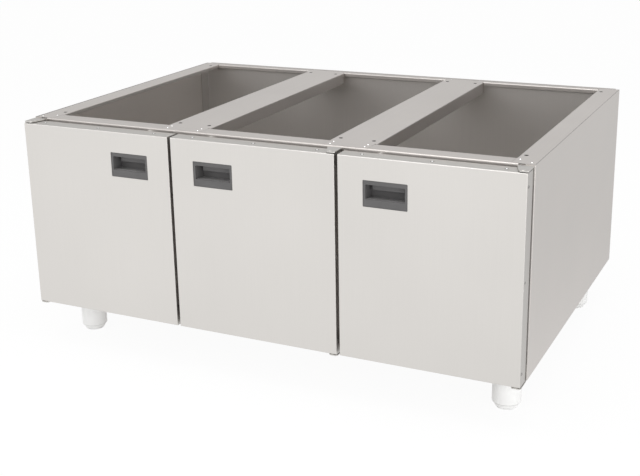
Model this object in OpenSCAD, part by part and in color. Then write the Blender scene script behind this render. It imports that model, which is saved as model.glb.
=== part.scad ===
// Open-top base cabinet for a modular cooking line, 1200 mm wide, with three doors.
// Millimetres. The origin lies on the floor under the middle of the cabinet, with
// +X along the front, +Y towards the back and +Z up.

/* [Cabinet] */
// Width over the two side panels
cabinet_w = 1200; // [1100:10:1500]
// Depth from the face of the front rail to the back of the rear cover
carcass_d = 798; // [600:1:900]
// Height of the carcass without its feet
carcass_h = 450; // [400:1:700]
// Depth of the shallow rear cover
rear_cover_d = 11; // [8:0.5:20]
// Distance of the rear cover from the cabinet's side
rear_cover_edge = 11; // [4:0.5:20]

/* [Sheet metal] */
// Thickness of the side panels and of the rear cover
panel_t = 1.2; // [0.8:0.1:1.5]
// Thickness of the side frames, the rear liner and the base tray
frame_t = 1.2; // [0.8:0.1:1.5]
// Thickness of the front and rear top rails
rail_t = 1.5; // [1:0.1:2]
// Thickness of the cross beams
beam_t = 1.5; // [1:0.1:2]
// Inside radius of the bends
bend_r = 1.3; // [0.8:0.1:1.6]
// Width of the return at the front and rear edges of a side panel
panel_return = 20; // [12:1:22]
// Width of the return at the bottom edge of a side panel
panel_foot_return = 15; // [8:1:20]
// Gap between sheets that lie side by side
sheet_gap = 0.5; // [0.5:0.05:0.7]

/* [Open top] */
// Width of the flange along each side of the opening
side_flange_w = 49; // [35:1:70]
// Height of the outer lip of a side flange
side_lip_h = 14; // [8:1:25]
// Depth of the front rail, from its face to the opening
front_rail_d = 42; // [30:1:60]
// Height of the front rail
front_rail_h = 40; // [36:1:60]
// Depth of the rear rail's top
rear_rail_d = 19; // [15:1:30]
// Height of the lip round the opening
opening_lip_h = 10; // [6:1:12]
// Distance that the front rail's bend goes on past the ends of its top
rail_face_past = 15; // [8:1:20]
// Height of the rear rail's back leg
rear_rail_h = 40; // [30:1:60]
// Width of the return at the bottom of the front rail
rail_return = 14; // [8:1:20]
// Width of the side flanges of the rear liner
rear_liner_flange = 38; // [20:1:50]
// Depth of the legs of the side frames' uprights
upright_leg = 20; // [12:1:30]
// Width of a cross beam
beam_w = 106; // [90:1:140]
// Height of the flanges of a cross beam
beam_h = 30; // [20:1:50]
// Gap between the ends of a beam's flanges and the rails
beam_relief = 3; // [2:1:12]
// Distance between the face of a rail and the end of a beam
beam_setback = 4; // [4:0.5:6]
// Gap round a beam's tongue in the recess of a rail
recess_gap = 0.4; // [0.3:0.05:0.6]

/* [Bolt holes] */
// Diameter of the bolt holes in the top
bolt_d = 9; // [6.5:0.5:11]
// Distance between the two holes at one end of a cross beam
beam_bolt_pitch = 76; // [50:1:84]
// Distance of the front holes from the front rail's face
bolt_front = 67; // [55:1:90]
// Distance of the rear holes from the side panels' rear edges
bolt_rear = 43; // [35:1:60]
// Distance of the holes in a side flange from the cabinet's side
side_bolt_edge = 37; // [18:1:40]

/* [Rivets in the top] */
// Radius of the flush rivets in the top
rivet_r = 2.4; // [2:0.1:3]
// Distance of the rivets from the middle of a cross beam
beam_rivet_x = 39; // [30:1:42]
// Distance of the first row of rivets from the front rail's face
rivet_row_1 = 15; // [12:1:18]
// Distance of the second row of rivets from the front rail's face
rivet_row_2 = 33; // [25:1:35]
// Distance of the outer corner rivets from the cabinet's side
corner_rivet_1 = 12; // [10:1:14]
// Distance of the inner corner rivets from the cabinet's side
corner_rivet_2 = 40; // [30:1:42]
// Depth of the dimple in a flush rivet
rivet_dimple = 0.8; // [0.3:0.1:0.8]
// Length of a rivet below the sheets that it joins
rivet_tail = 2; // [1:0.1:3]

/* [Base] */
// Height of the base tray under the compartment
base_tray_h = 40; // [36:1:60]
// Width of a foot channel between its legs
foot_channel_w = 70; // [66:1:90]
// Width of the flanges that hold a foot channel to the tray
foot_channel_flange = 12; // [8:1:18]
// Thickness of a foot channel
foot_channel_t = 1.5; // [1.2:0.1:2.5]

/* [Feet] */
// Height of the feet under the carcass
foot_h = 105; // [101:1:140]
// Diameter of the fixed upper part of a foot
socket_d = 62; // [56:1:64]
// Length of the fixed upper part
socket_len = 92; // [70:1:92]
// Diameter of the adjuster
adjuster_d = 52; // [40:1:53]
// Gap around the adjuster in its socket
adjuster_gap = 0.35; // [0.3:0.05:0.8]
// Height of the tapered pad under the adjuster
pad_h = 6; // [4:0.5:8]
// Diameter of the pad where it meets the floor
pad_d = 44; // [30:1:48]
// Depth of the groove between the adjuster and its pad
pad_groove = 0.8; // [0.4:0.1:1.5]
// Wall of the moulded foot parts
foot_wall = 3; // [2:0.5:4]
// Distance of a foot's axis from the cabinet's side
foot_side = 64; // [60:1:90]
// Distance of the front feet from the front rail's face
foot_front = 80; // [50:1:120]
// Distance of the rear feet from the back of the rear cover
foot_rear = 103; // [60:1:140]
// Diameter of the bolt that holds a foot
foot_bolt_d = 10; // [8:1:12]
// Height of the nut under a socket's roof
foot_nut_h = 5; // [4:0.5:8]

/* [Doors] */
// Thickness of a door
door_t = 37; // [34:1:45]
// Gap between the back of a door and the front rail's face
door_standoff = 7; // [6.5:0.5:10]
// Gap between two doors
door_gap = 7; // [6:0.5:12]
// Distance of the outer doors from the cabinet's sides
door_side_margin = 3; // [2:0.5:6]
// Distance between the top of the carcass and the doors
door_top_margin = 5.7; // [5.2:0.1:10]
// Distance between the bottom of the carcass and the doors
door_bottom_margin = 1.6; // [1:0.1:6]
// Thickness of the sheet of a door
door_sheet_t = 1; // [0.8:0.1:1.2]
// Outer radius of the edges of a door
door_edge_r = 1.7; // [1.5:0.1:3]
// Distance of the liner's flange edges behind the front of the door
liner_front = 15; // [14:0.5:16]
// Gap between the liner and the door skin
nest_gap = 0.2; // [0.1:0.05:0.4]
// Distance between the rivets in the edge of a door
rivet_pitch = 150; // [100:1:160]
// Distance of the rivets behind the front of the door
rivet_back = 19.5; // [18.5:0.5:21]
// Radius of the shank of a door rivet
door_rivet_r = 1.6; // [1.2:0.1:1.8]
// Radius of the head of a door rivet
door_rivet_head_r = 3; // [2.4:0.1:3.4]
// Height of the head of a door rivet
door_rivet_head_h = 1.2; // [0.8:0.1:1.4]
// Length of the shank of a door rivet
door_rivet_len = 4.5; // [3.5:0.5:6]

/* [Hinges] */
// Distance of the pivot from the hinged edge of a door
pivot_side = 12; // [11:0.5:16]
// Distance of the pivot behind the front of a door
pivot_back = 8; // [7:0.5:9]
// Diameter of a hinge pin
pin_d = 7; // [5:0.5:7.5]
// Radial clearance of a hinge pin in its bore
pin_clearance = 0.06; // [0.02:0.01:0.1]
// Depth of the bore in a hinge block
pin_depth = 22; // [14:1:24]
// Room between the end of a pin and the end of its bore
pin_room = 2; // [1:0.5:3]
// Thickness of a hinge bracket
bracket_t = 2.5; // [2:0.1:3]
// Width of a hinge bracket
bracket_w = 32; // [28:1:40]
// Distance of a bracket's front edge behind the front of its door
bracket_setback = 1.5; // [0.5:0.5:3]
// Distance that a bracket reaches past the edge of its door
bracket_past = 0.5; // [0:0.5:2]
// Width that the tapered side of a bracket loses towards its front
bracket_taper = 12; // [4:1:14]
// Height of the leg of a hinge bracket
bracket_leg = 38; // [32:1:40]
// Distance of the outer screw from the edge of a bracket
bracket_screw_edge = 8; // [8:0.5:10]
// Distance between the two screws of a bracket
bracket_screw_pitch = 17; // [14:0.5:18]
// Distance of a bracket's screws from the end of the door
bracket_screw_end = 20; // [18:0.5:24]
// Gap between a bracket and the door's edge
hinge_gap = 1.6; // [1:0.1:1.8]
// Diameter of the countersunk hinge screws
hinge_screw_d = 5; // [4:0.5:5]
// Width of a hinge block
block_w = 26; // [24:1:34]
// Height of a hinge block
block_h = 42; // [38:1:60]
// Outer diameter of the collar round the pin
collar_d = 10; // [10:0.5:11]
// Distance of a block's screw from the end of the door
block_screw_end = 28; // [27:1:34]
// Radius of a block's screw
block_screw_r = 2; // [1.5:0.1:2.4]
// Length of a block's screw
block_screw_len = 14; // [10:1:18]

/* [Grips] */
// Width of the cut-out for a grip
grip_w = 97; // [80:1:120]
// Height of the cut-out for a grip
grip_h = 56; // [50:1:70]
// Distance of a grip from the opening edge of its door
grip_edge = 56; // [40:1:90]
// Distance of a grip from the top of its door
grip_top = 47.5; // [46:0.5:80]
// Gap between a grip and its cut-out
grip_gap = 0.8; // [0.3:0.1:1]
// Distance of the bezel behind the door's front
grip_recess = 0.5; // [0:0.1:1]
// Wall of the grip moulding
grip_wall = 2; // [1.5:0.1:2.5]
// Width of the bezel at the sides of the mouth
mouth_side = 4.8; // [4:0.2:10]
// Width of the bezel above the mouth
mouth_top = 9; // [6:0.5:12]
// Height of the plate below the mouth
mouth_bottom = 16.5; // [12:0.5:22]
// Depth of the finger recess
mouth_depth = 33; // [30:0.5:34]
// Drop of the recess floor from its front to its back
floor_drop = 3; // [0:0.5:5]
// Distance of the finger lip behind the door's front
lip_back = 19.5; // [14:0.5:22]
// Height of the finger lip
lip_h = 15.5; // [12:0.5:18]
// Gap between each end of the finger lip and the recess wall
lip_end_gap = 8; // [2:0.5:15]

/* [Catches] */
// Distance of a pot magnet from the opening edge of its door
magnet_edge = 76; // [50:1:100]
// Diameter of a pot magnet
magnet_d = 18; // [14:1:24]
// Distance between the top of a door and its pot magnet
magnet_drop = 0.8; // [0.5:0.1:3]
// Gap between the magnet and its strike plate
magnet_gap = 0.3; // [0.3:0.05:0.5]
// Thickness of the strike plate on the door
strike_t = 0.9; // [0.6:0.1:1.2]
// Radius of the rivet that holds a strike plate
strike_rivet_r = 2; // [1.5:0.1:3]
// Diameter of the magnet screws
magnet_screw_d = 3.5; // [3:0.1:4]
// Length of a magnet screw behind the rail's sheet
magnet_screw_tail = 2; // [1:0.1:3]

/* [Hidden] */
$fn = 48;

steel = [0.76, 0.75, 0.74];
bright_steel = [0.82, 0.82, 0.81];
dark_plastic = [0.40, 0.40, 0.40];
white_plastic = [0.94, 0.94, 0.93];

doors = [1, 2, 3];
cut = 1; // overshoot of cutting shapes
seat_gap = 0.2; // gap between a fitting and the sheet that carries it
hole_gap = 0.1; // gap round a screw or rivet in its hole

// Planes of the carcass
door_proud = door_t + door_standoff;
front_y = door_proud - (carcass_d + door_proud) / 2;
rear_y = front_y + carcass_d;
rear_inner_y = rear_y - rear_cover_d;
side_x = cabinet_w / 2;
base_z = foot_h;
top_z = foot_h + carcass_h;
seat_z = top_z - beam_t - hole_gap;
floor_z = base_z + base_tray_h;

// Side box: the frame stands inside the returns of the side panel
frame_front_y = front_y + panel_t + sheet_gap;
frame_rear_y = rear_inner_y - panel_t - sheet_gap;
frame_side_x = side_x - panel_t - sheet_gap;
wall_x = side_x - side_flange_w;
frame_r = bend_r + frame_t;
rail_end_x = wall_x - sheet_gap;
rail_bend_end_x = rail_end_x + rail_face_past;
rail_face_end_x = side_x - panel_return - sheet_gap;
recess_front_y = front_y + beam_setback - recess_gap;
upright_front_y = front_y + max(panel_t, rail_t) + sheet_gap;
hinge_screw_len = 3 * bracket_t;
channel_front_y = max(frame_front_y + frame_r, front_y + hinge_screw_len - bracket_t + sheet_gap);
channel_rear_y = frame_rear_y - frame_r;
opening_front_y = front_y + front_rail_d;
opening_rear_y = rear_inner_y - rear_rail_d;

// Doors and what lines up with them
door_front_y = front_y - door_proud;
door_back_y = front_y - door_standoff;
door_top_z = top_z - door_top_margin;
door_bottom_z = base_z + door_bottom_margin;
door_h = door_top_z - door_bottom_z;
door_w = (cabinet_w - 2 * door_side_margin - (len(doors) - 1) * door_gap) / len(doors);
door_pitch = door_w + door_gap;
pivot_x = door_w / 2 - pivot_side;
pivot_y = door_front_y + pivot_back;
bracket_edge_x = door_w / 2 + bracket_past;
bracket_z = hinge_gap + bracket_t;
bracket_screws = [for (k = [0, 1]) bracket_edge_x - bracket_screw_edge - k * bracket_screw_pitch];
grip_x = -door_w / 2 + grip_edge + grip_w / 2;
grip_z = door_top_z - grip_top - grip_h / 2;
magnet_x = -door_w / 2 + magnet_edge;
magnet_z = door_top_z - magnet_drop - magnet_d / 2;
strike_front_y = door_back_y + hole_gap;
magnet_front_y = strike_front_y + strike_t + magnet_gap;
block_gap = 0.3;
block_d = liner_front - door_sheet_t - 2 * block_gap;
block_edge_x = door_w / 2 - door_sheet_t - block_gap;
block_front_y = door_front_y + door_sheet_t + block_gap;

// Feet
foot_x = side_x - foot_side;
foot_front_y = front_y + foot_front;
foot_rear_y = rear_y - foot_rear;
socket_bottom_z = base_z - socket_len;
socket_roof = 2 * foot_wall;

function unit(v) = v / norm(v);
function door_cx(i) = (i - 2) * door_pitch;
function hinged_left(i) = i == 1;
// Middle of each gap between doors, where a cross beam lies
function beam_cx(side) = side * door_pitch / 2;

// General shapes

module rounded_rect(w, h, r) {
    union() {
        square([w - 2 * r, h], center = true);
        square([w, h - 2 * r], center = true);
        for (x = [-1, 1], y = [-1, 1])
            translate([x * (w / 2 - r), y * (h / 2 - r)]) circle(r = r);
    }
}

// Upright section of a sheet block whose lower edges are rounded
module edge_profile(w, h, r) {
    union() {
        translate([r, 0]) square([w - 2 * r, h]);
        translate([0, r]) square([w, h - r]);
        for (x = [r, w - r]) translate([x, r]) circle(r = r);
    }
}

module formed_block(w, d, h, r) {
    intersection() {
        translate([0, d, 0]) rotate([90, 0, 0]) linear_extrude(d) edge_profile(w, h, r);
        rotate([90, 0, 90]) linear_extrude(w) edge_profile(d, h, r);
    }
}

// Sheet folded up on its four sides, with welded and ground corners
module formed_pan(w, d, h, t, r) {
    difference() {
        formed_block(w, d, h, r);
        translate([t, t, t]) formed_block(w - 2 * t, d - 2 * t, h, r - t);
    }
}

// Section of a sheet bent square at each inner point of the path, which is its middle line
module folded_profile(path, t, r) {
    middle_r = r + t / 2;
    last = len(path) - 1;
    for (i = [0 : last - 1]) {
        along = unit(path[i + 1] - path[i]);
        start = path[i] + (i > 0 ? middle_r : 0) * along;
        end = path[i + 1] - (i < last - 1 ? middle_r : 0) * along;
        translate(start) rotate(atan2(along[1], along[0]))
            translate([0, -t / 2]) square([norm(end - start), t]);
    }
    for (i = [1 : last - 1]) {
        before = unit(path[i] - path[i - 1]);
        after = unit(path[i + 1] - path[i]);
        centre = path[i] - middle_r * before + middle_r * after;
        reach = 2 * (r + t);
        intersection() {
            translate(centre) difference() {
                circle(r = r + t);
                circle(r = r);
            }
            polygon([centre, centre - reach * after,
                centre - reach * after + reach * before, centre + reach * before]);
        }
    }
}

// Screw along +Y with its flush countersunk head at the origin and a hexagon socket
module countersunk_screw(d, length) {
    rotate([-90, 0, 0]) difference() {
        union() {
            cylinder(r1 = d, r2 = d / 2, h = d / 2);
            cylinder(r = d / 2, h = length);
        }
        translate([0, 0, -cut]) cylinder(r = 0.36 * d, h = cut + 0.4 * d, $fn = 6);
    }
}

// Rounded rivet head of radius r and height h
module domed_head(r, h) {
    ball_r = (r * r + h * h) / (2 * h);
    intersection() {
        translate([0, 0, h - ball_r]) sphere(r = ball_r);
        cylinder(r = r, h = h);
    }
}

module countersunk_hole(d) {
    rotate([-90, 0, 0]) {
        translate([0, 0, -hole_gap])
            cylinder(r1 = d + 2 * hole_gap, r2 = d / 2 + hole_gap, h = d / 2 + hole_gap);
        cylinder(r = d / 2 + hole_gap, h = 6 * d);
    }
}

module left_and_right() {
    children();
    mirror([1, 0, 0]) children();
}

// Places what is drawn for a door that is hinged on its right
module at_door(i) {
    translate([door_cx(i), 0, 0]) mirror([hinged_left(i) ? 1 : 0, 0, 0]) children();
}

// Turns the top fitting of a door over, for its lower end
module at_lower_end() {
    translate([0, 0, door_top_z + door_bottom_z]) mirror([0, 0, 1]) children();
}

// Carcass

module side_panel() {
    h = carcass_h - hole_gap;
    color(steel) difference() {
        translate([side_x, front_y, base_z]) rotate([0, -90, 0])
            formed_pan(h + 2 * panel_return, rear_inner_y - front_y, panel_return, panel_t,
                bend_r + panel_t);
        translate([0, front_y - cut, top_z - hole_gap])
            cube([side_x + cut, carcass_d, 3 * panel_return]);
        translate([side_x - panel_return - cut, front_y + panel_return, base_z - cut])
            cube([panel_return - panel_foot_return + cut, rear_inner_y - front_y - 2 * panel_return,
                carcass_h]);
        hinge_screw_holes();
    }
}

// Welded frame of a side: the flange along the opening and an upright at the front
module side_frame() {
    t2 = frame_t / 2;
    depth = frame_rear_y - frame_front_y;
    upright_low_z = floor_z + sheet_gap;
    upright_high_z = seat_z - rail_t - sheet_gap;
    color(steel) difference() {
        union() {
            translate([0, frame_rear_y, 0]) rotate([90, 0, 0]) linear_extrude(depth)
                folded_profile([
                    [wall_x + frame_r, top_z - t2],
                    [frame_side_x - t2, top_z - t2],
                    [frame_side_x - t2, top_z - side_lip_h]
                ], frame_t, bend_r);
            translate([0, opening_rear_y, 0]) rotate([90, 0, 0])
                linear_extrude(opening_rear_y - opening_front_y) folded_profile([
                    [wall_x + t2, top_z - opening_lip_h],
                    [wall_x + t2, top_z - t2],
                    [wall_x + 2 * frame_r, top_z - t2]
                ], frame_t, bend_r);
            for (zone = [[frame_front_y, opening_front_y], [opening_rear_y, frame_rear_y]])
                translate([wall_x, zone[0], top_z - frame_t])
                    cube([2 * frame_r, zone[1] - zone[0], frame_t]);
            translate([0, 0, upright_low_z]) linear_extrude(upright_high_z - upright_low_z)
                folded_profile([
                    [wall_x + t2, upright_front_y + upright_leg],
                    [wall_x + t2, upright_front_y + t2],
                    [frame_side_x - t2, upright_front_y + t2],
                    [frame_side_x - t2, upright_front_y + upright_leg]
                ], frame_t, bend_r);
        }
        translate([wall_x - cut, frame_front_y - cut, top_z - 2 * frame_t])
            cube([rail_bend_end_x + sheet_gap - wall_x + cut,
                front_y + beam_setback - frame_front_y + cut, 4 * frame_t]);
        side_bolt_holes();
        hinge_screw_holes();
        top_rivet_holes();
    }
}

module base_tray() {
    depth = frame_rear_y - front_y;
    color(steel) difference() {
        translate([-frame_side_x, front_y, floor_z]) mirror([0, 0, 1])
            formed_pan(2 * frame_side_x, rear_inner_y - front_y, base_tray_h - panel_t - sheet_gap,
                frame_t, frame_r);
        left_and_right() {
            translate([side_x - panel_return - sheet_gap, front_y - cut, base_z - cut])
                cube([panel_return, panel_t + sheet_gap + cut, base_tray_h + 2 * cut]);
            translate([side_x - panel_return - sheet_gap, front_y + depth, base_z - cut])
                cube([panel_return, panel_t + sheet_gap + cut, base_tray_h + 2 * cut]);
        }
        left_and_right() hinge_screw_holes();
        middle_hinge_screw_holes();
    }
}

// Lowered seats in a rail, from y0 to y1: under the tongue of each beam, and as a tongue
// under each side flange
module rail_seats(y0, y1) {
    seat_w = beam_w - 2 * (bend_r + beam_t) + 2 * (recess_gap + rail_t);
    for (side = [-1, 1]) translate([beam_cx(side) - seat_w / 2, y0, seat_z - rail_t])
        cube([seat_w, y1 - y0, top_z - seat_z + rail_t / 2]);
    left_and_right() translate([rail_end_x - 2 * rail_t, y0, seat_z - rail_t]) {
        cube([frame_side_x - frame_r - sheet_gap - rail_end_x + 2 * rail_t, y1 - y0, rail_t]);
        cube([rail_t, y1 - y0, top_z - seat_z + rail_t / 2]);
    }
}

// Room above the seats of a rail
module rail_recesses(y0, y1) {
    recess_w = beam_w - 2 * (bend_r + beam_t) + 2 * recess_gap;
    for (side = [-1, 1]) translate([beam_cx(side) - recess_w / 2, y0, seat_z])
        cube([recess_w, y1 - y0, 2 * rail_t]);
}

// The bend goes on past the ends of the top, and the face below it in front of the uprights
module front_top_rail() {
    t2 = rail_t / 2;
    color(steel) difference() {
        union() {
            translate([-rail_end_x, 0, 0]) rotate([90, 0, 90]) linear_extrude(2 * rail_end_x)
                folded_profile([
                    [front_y + rail_return, top_z - front_rail_h + t2],
                    [front_y + t2, top_z - front_rail_h + t2],
                    [front_y + t2, top_z - t2],
                    [opening_front_y - t2, top_z - t2],
                    [opening_front_y - t2, top_z - opening_lip_h]
                ], rail_t, bend_r);
            translate([-rail_bend_end_x, 0, 0]) rotate([90, 0, 90]) linear_extrude(2 * rail_bend_end_x)
                folded_profile([
                    [front_y + t2, top_z - front_rail_h],
                    [front_y + t2, top_z - t2],
                    [recess_front_y, top_z - t2]
                ], rail_t, bend_r);
            left_and_right() translate([rail_end_x - rail_t, recess_front_y - rail_t, seat_z - rail_t])
                cube([rail_face_past + rail_t, rail_t, top_z - seat_z + t2]);
            translate([-rail_face_end_x, front_y, top_z - front_rail_h])
                cube([2 * rail_face_end_x, rail_t, front_rail_h - 2 * rail_t]);
            rail_seats(recess_front_y - rail_t, opening_front_y - t2);
        }
        rail_recesses(recess_front_y, opening_front_y + cut);
        left_and_right() hinge_screw_holes();
        middle_hinge_screw_holes();
        for (i = doors) magnet_screw_hole(i);
        top_rivet_holes();
    }
}

module rear_top_rail() {
    t2 = rail_t / 2;
    recess_y = rear_inner_y - beam_setback + recess_gap;
    color(steel) difference() {
        union() {
            translate([-rail_end_x, 0, 0]) rotate([90, 0, 90]) linear_extrude(2 * rail_end_x)
                folded_profile([
                    [opening_rear_y + t2, top_z - opening_lip_h],
                    [opening_rear_y + t2, top_z - t2],
                    [rear_inner_y - t2, top_z - t2],
                    [rear_inner_y - t2, top_z - rear_rail_h]
                ], rail_t, bend_r);
            rail_seats(opening_rear_y + t2, recess_y + rail_t);
        }
        rail_recesses(opening_rear_y - cut, recess_y);
        top_rivet_holes();
    }
}

// Inner back wall, with side flanges that lie against the side panels
module rear_liner() {
    w = 2 * frame_side_x;
    low_z = floor_z + sheet_gap;
    high_z = top_z - side_lip_h - sheet_gap;
    back = rear_inner_y - rail_t - sheet_gap;
    color(steel) translate([0, 0, low_z]) linear_extrude(high_z - low_z) folded_profile([
        [-w / 2 + frame_t / 2, back - rear_liner_flange],
        [-w / 2 + frame_t / 2, back - frame_t / 2],
        [w / 2 - frame_t / 2, back - frame_t / 2],
        [w / 2 - frame_t / 2, back - rear_liner_flange]
    ], frame_t, bend_r);
}

module rear_cover() {
    w = cabinet_w - 2 * rear_cover_edge;
    h = top_z - hole_gap - base_z;
    color(steel) translate([-w / 2, rear_y, base_z]) rotate([90, 0, 0])
        formed_pan(w, h, rear_cover_d - sheet_gap, panel_t, bend_r + panel_t);
}

// Top plate with a tongue over each rail and a flange down each side between the rails
module cross_beam(side) {
    front_end = front_y + beam_setback;
    rear_end = rear_inner_y - beam_setback;
    flange_front = opening_front_y + beam_relief;
    flange_rear = opening_rear_y - beam_relief;
    bend = bend_r + beam_t;
    t2 = beam_t / 2;
    color(steel) difference() {
        translate([beam_cx(side), 0, 0]) union() {
            translate([0, flange_rear, 0]) rotate([90, 0, 0])
                linear_extrude(flange_rear - flange_front) folded_profile([
                    [-beam_w / 2 + t2, top_z - beam_h],
                    [-beam_w / 2 + t2, top_z - t2],
                    [beam_w / 2 - t2, top_z - t2],
                    [beam_w / 2 - t2, top_z - beam_h]
                ], beam_t, bend_r);
            translate([-beam_w / 2 + bend, front_end, top_z - beam_t])
                cube([beam_w - 2 * bend, rear_end - front_end, beam_t]);
        }
        for (x = [-1, 1], y = [front_y + bolt_front, rear_inner_y - bolt_rear])
            translate([beam_cx(side) + x * beam_bolt_pitch / 2, y, top_z - beam_t - cut])
                cylinder(d = bolt_d, h = beam_t + 2 * cut);
        top_rivet_holes();
    }
}

// Hat section under the base tray, open upwards
module foot_channel() {
    t2 = foot_channel_t / 2;
    half = foot_channel_w / 2 - t2;
    high = floor_z - frame_t - seat_gap - t2;
    color(steel) difference() {
        translate([foot_x, channel_rear_y, 0]) rotate([90, 0, 0])
            linear_extrude(channel_rear_y - channel_front_y) folded_profile([
                [-half - foot_channel_flange, high],
                [-half, high],
                [-half, base_z + t2],
                [half, base_z + t2],
                [half, high],
                [half + foot_channel_flange, high]
            ], foot_channel_t, bend_r);
        for (y = [foot_front_y, foot_rear_y]) translate([foot_x, y, base_z - cut])
            cylinder(r = foot_bolt_d / 2 + hole_gap, h = foot_channel_t + 2 * cut);
    }
}

// Bolt holes in the side flange of the right-hand frame
module side_bolt_holes() {
    for (y = [front_y + bolt_front, rear_inner_y - bolt_rear])
        translate([side_x - side_bolt_edge, y, top_z - frame_t - cut])
            cylinder(d = bolt_d, h = frame_t + 2 * cut);
}

// Flush rivets in the beams' ends and in the front corners of the side flanges

rivet_len = beam_t + rail_t + rivet_tail;

module each_top_rivet() {
    rows = [front_y + rivet_row_1, front_y + rivet_row_2];
    for (side = [-1, 1], x = [-1, 1], y = concat(rows, [rear_inner_y - rear_rail_d / 2]))
        translate([beam_cx(side) + x * beam_rivet_x, y, top_z - rivet_len]) children();
    left_and_right() {
        translate([side_x - corner_rivet_1, rows[0], top_z - rivet_len]) children();
        translate([side_x - corner_rivet_2, rows[1], top_z - rivet_len]) children();
    }
}

module top_rivet_holes() {
    each_top_rivet() translate([0, 0, -cut]) cylinder(r = rivet_r + hole_gap / 2, h = rivet_len + 2 * cut);
}

module top_rivets() {
    dimple_r = 3 * rivet_dimple + rivet_r / 2;
    color(bright_steel) each_top_rivet() difference() {
        cylinder(r = rivet_r, h = rivet_len);
        translate([0, 0, rivet_len + dimple_r - rivet_dimple]) sphere(r = dimple_r);
    }
}

// Hinges

// Angle bracket at the top of a door: a tapered plate over the door and a leg on the rail
module hinge_bracket() {
    back = front_y - seat_gap;
    front = door_front_y + bracket_setback;
    left = bracket_edge_x - bracket_w;
    t2 = bracket_t / 2;
    plate_z = door_top_z + hinge_gap + t2;
    corner = 3;
    color(bright_steel) difference() {
        intersection() {
            translate([left, 0, 0]) rotate([90, 0, 90]) linear_extrude(bracket_w) folded_profile([
                [front, plate_z],
                [back - t2, plate_z],
                [back - t2, door_top_z + bracket_z - bracket_leg]
            ], bracket_t, bend_r);
            translate([0, 0, door_top_z - bracket_leg]) linear_extrude(2 * bracket_leg) polygon([
                [left, back],
                [left, back - 2 * bracket_t],
                [left + bracket_taper, front + corner],
                [left + bracket_taper + corner, front],
                [bracket_edge_x - corner, front],
                [bracket_edge_x, front + corner],
                [bracket_edge_x, back]
            ]);
        }
        translate([pivot_x, pivot_y, door_top_z])
            cylinder(r = pin_d / 2 + pin_clearance / 2, h = 2 * bracket_z);
        for (x = bracket_screws)
            translate([x, back - bracket_t, door_top_z - bracket_screw_end]) countersunk_hole(hinge_screw_d);
    }
}

// Riveted pivot with a flat head on the bracket and a rounded end in the block
module hinge_pin() {
    head_h = 0.9;
    tip = 1.5;
    reach = pin_depth - pin_room;
    color(bright_steel) translate([pivot_x, pivot_y, door_top_z]) {
        translate([0, 0, bracket_z]) cylinder(r1 = pin_d / 2 + 1.5, r2 = pin_d / 2, h = head_h);
        translate([0, 0, tip - reach]) cylinder(d = pin_d, h = bracket_z + reach - tip);
        translate([0, 0, -reach]) cylinder(r1 = pin_d / 2 - tip, r2 = pin_d / 2, h = tip);
    }
}

module hinge_pins() {
    for (i = doors) at_door(i) {
        hinge_pin();
        at_lower_end() hinge_pin();
    }
}

module hinge_screw() {
    for (x = bracket_screws)
        translate([x, front_y - seat_gap - bracket_t, door_top_z - bracket_screw_end])
            countersunk_screw(hinge_screw_d, hinge_screw_len);
}

module hinge_screws() {
    color(bright_steel) for (i = doors) at_door(i) {
        hinge_screw();
        at_lower_end() hinge_screw();
    }
}

module hinge_screw_drill() {
    for (x = bracket_screws)
        translate([x, front_y - cut, door_top_z - bracket_screw_end]) rotate([-90, 0, 0])
            cylinder(r = hinge_screw_d / 2 + hole_gap, h = 4 * bracket_t);
}

// Holes for the brackets of the right-hand door
module hinge_screw_holes() {
    at_door(3) {
        hinge_screw_drill();
        at_lower_end() hinge_screw_drill();
    }
}

// Holes for the brackets of the middle door
module middle_hinge_screw_holes() {
    at_door(2) {
        hinge_screw_drill();
        at_lower_end() hinge_screw_drill();
    }
}

// Catches

module magnet_screw_hole(i) {
    at_door(i) translate([magnet_x, front_y - cut, magnet_z]) rotate([-90, 0, 0])
        cylinder(r = magnet_screw_d / 2 + hole_gap, h = rail_t + 2 * cut);
}

// Steel pot with a ring magnet set in its face and a countersunk hole through its middle
module pot_magnet(i) {
    depth = front_y - seat_gap - magnet_front_y;
    ring_r = magnet_d / 2 - 1.8;
    ring_inner_r = magnet_screw_d + 1;
    groove = 0.5;
    color(bright_steel) at_door(i) translate([magnet_x, magnet_front_y, magnet_z]) difference() {
        rotate([-90, 0, 0]) cylinder(d = magnet_d, h = depth);
        rotate([90, 0, 0]) translate([0, 0, -groove]) difference() {
            cylinder(r = ring_r, h = cut + groove);
            cylinder(r = ring_inner_r, h = cut + groove);
        }
        countersunk_hole(magnet_screw_d);
    }
}

module magnet_screws() {
    color(bright_steel) for (i = doors) at_door(i)
        translate([magnet_x, magnet_front_y, magnet_z])
            countersunk_screw(magnet_screw_d,
                front_y - magnet_front_y + rail_t + magnet_screw_tail);
}

// Disc riveted to the back of a door
module strike_plate(i) {
    color(bright_steel) at_door(i) translate([magnet_x, strike_front_y, magnet_z]) rotate([-90, 0, 0])
        difference() {
            cylinder(d = magnet_d, h = strike_t);
            translate([0, 0, -cut]) cylinder(r = strike_rivet_r + hole_gap, h = strike_t + 2 * cut);
        }
}

module strike_rivet() {
    translate([magnet_x, strike_front_y + strike_t, magnet_z]) rotate([90, 0, 0])
        cylinder(r = strike_rivet_r, h = strike_t + hole_gap + door_sheet_t + 1);
}

module strike_rivet_hole() {
    translate([magnet_x, door_back_y + cut, magnet_z]) rotate([90, 0, 0])
        cylinder(r = strike_rivet_r + hole_gap, h = door_sheet_t + 2 * cut);
}

// Doors

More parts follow.
